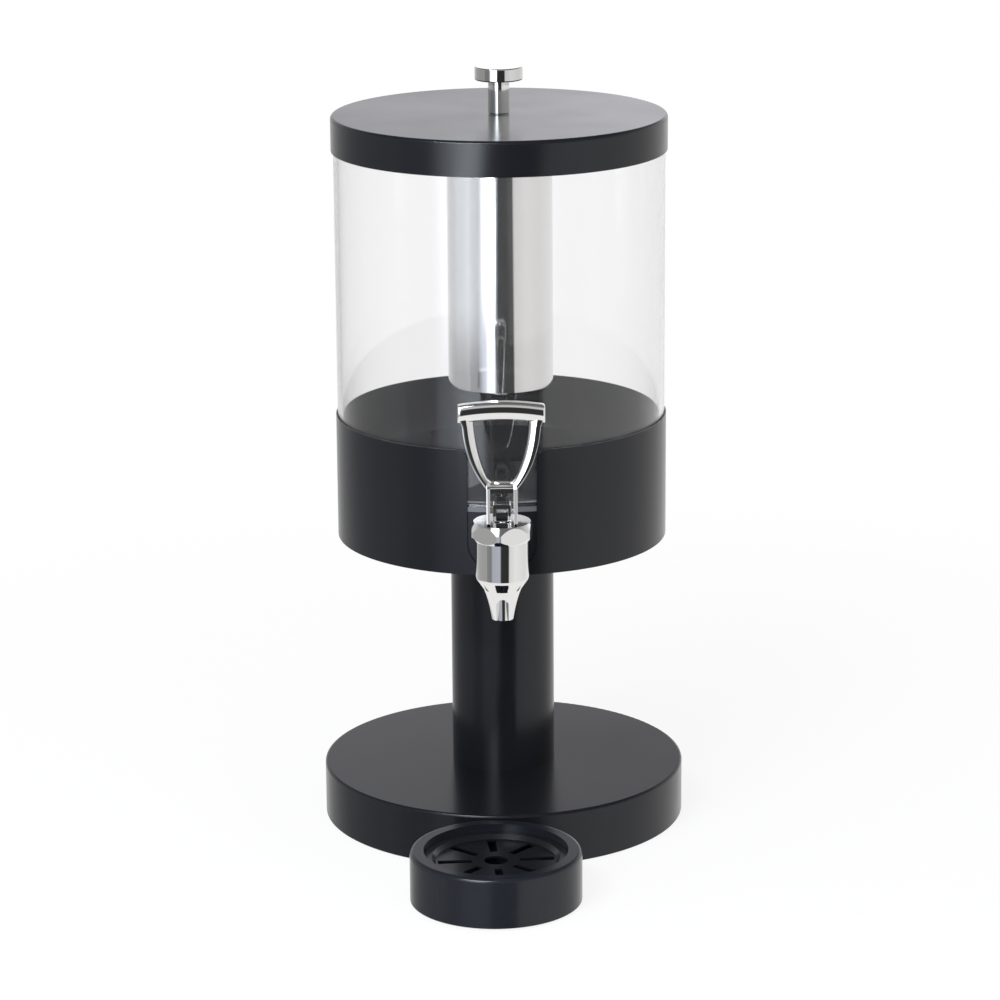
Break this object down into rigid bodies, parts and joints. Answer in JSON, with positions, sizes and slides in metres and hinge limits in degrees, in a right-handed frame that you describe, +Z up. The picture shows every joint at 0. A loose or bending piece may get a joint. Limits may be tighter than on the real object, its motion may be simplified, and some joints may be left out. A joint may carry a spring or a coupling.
{
  "type": "juice dispenser",
  "caption": "Clear round drink tank with a lever tap and hanging ice tube, on a black pedestal stand with a loose drip tray.",
  "frame": {"origin": "middle of the base's underside, on the table", "axes": "+Z up, the tap points along -Y, +X to the right of a person facing the tap"},
  "size_m": [0.2234, 0.3252, 0.4679],
  "materials": {
    "lacquer": "black gloss lacquer",
    "weight": "bare",
    "steel": "plain",
    "chrome": "polished",
    "ice_steel": "satin stainless",
    "clear": "clear acrylic",
    "black_plastic": "satin",
    "silicone": "translucent",
    "rubber": "matte"
  },
  "bodies": {
    "stand": {"base_cover": "lacquer", "base_weight": "weight", "base_pad": "rubber", "column_tube": "lacquer", "column_foot_plug": "steel", "column_head_plug": "steel", "tie_bolt": "steel", "tie_washer": "steel", "holder_sleeve": "lacquer", "holder_floor": "lacquer", "holder_screws": "steel", "holder_pad": "rubber"},
    "tank": {"tank_cylinder": "clear", "tank_seal": "silicone", "tank_base": "black_plastic", "tap_body": "chrome", "tap_outer_washer": "rubber", "tap_inner_washer": "silicone", "tap_lock_nut": "steel", "tap_bonnet": "chrome", "tap_spring": "steel"},
    "stem": {"tap_stem": "chrome", "tap_seat_cup": "silicone"},
    "handle": {"tap_handle": "chrome", "tap_pin": "steel"},
    "lid": {"lid_shell": "lacquer", "lid_liner": "black_plastic", "knob_cap": "chrome", "knob_stem": "chrome", "knob_screw": "steel", "tube_collar": "black_plastic", "tube_gasket": "silicone", "bayonet_pins": "steel"},
    "ice_tube": {"ice_tube": "ice_steel"},
    "tray": {"tray_body": "lacquer", "tray_pad": "rubber"},
    "grille": {"tray_grille": "lacquer"}
  },
  "joints": [
    {"name": "tank_lift", "type": "slide", "parent": "stand", "child": "tank", "axis": [0, 0, 1], "range_m": [0, 0.08]},
    {"name": "stem_lift", "type": "slide", "parent": "tank", "child": "stem", "axis": [0, 0, 1], "range_m": [0, 0.0055], "stiffness_N_per_m": 1500, "springref_m": -0.004, "deforming": ["tap_spring"]},
    {"name": "handle_tilt", "type": "hinge", "parent": "stem", "child": "handle", "pos_m": [0, -0.141, 0.231], "axis": [1, 0, 0], "range_deg": [0, 35]},
    {"name": "lid_lift", "type": "slide", "parent": "tank", "child": "lid", "axis": [0, 0, 1], "range_m": [0, 0.17]},
    {"name": "ice_tube_twist", "type": "hinge", "parent": "lid", "child": "ice_tube", "pos_m": [0, 0, 0.4265], "axis": [0, 0, 1], "range_deg": [0, 45]},
    {"name": "tray_lift", "type": "slide", "parent": "stand", "child": "tray", "axis": [0, 0, 1], "range_m": [0, 0.05]},
    {"name": "grille_lift", "type": "slide", "parent": "tray", "child": "grille", "axis": [0, 0, 1], "range_m": [0, 0.03]}
  ],
  "couplings": [
    {"joint": "stem_lift", "follows": "handle_tilt", "m_per_rad": 0.009}
  ]
}
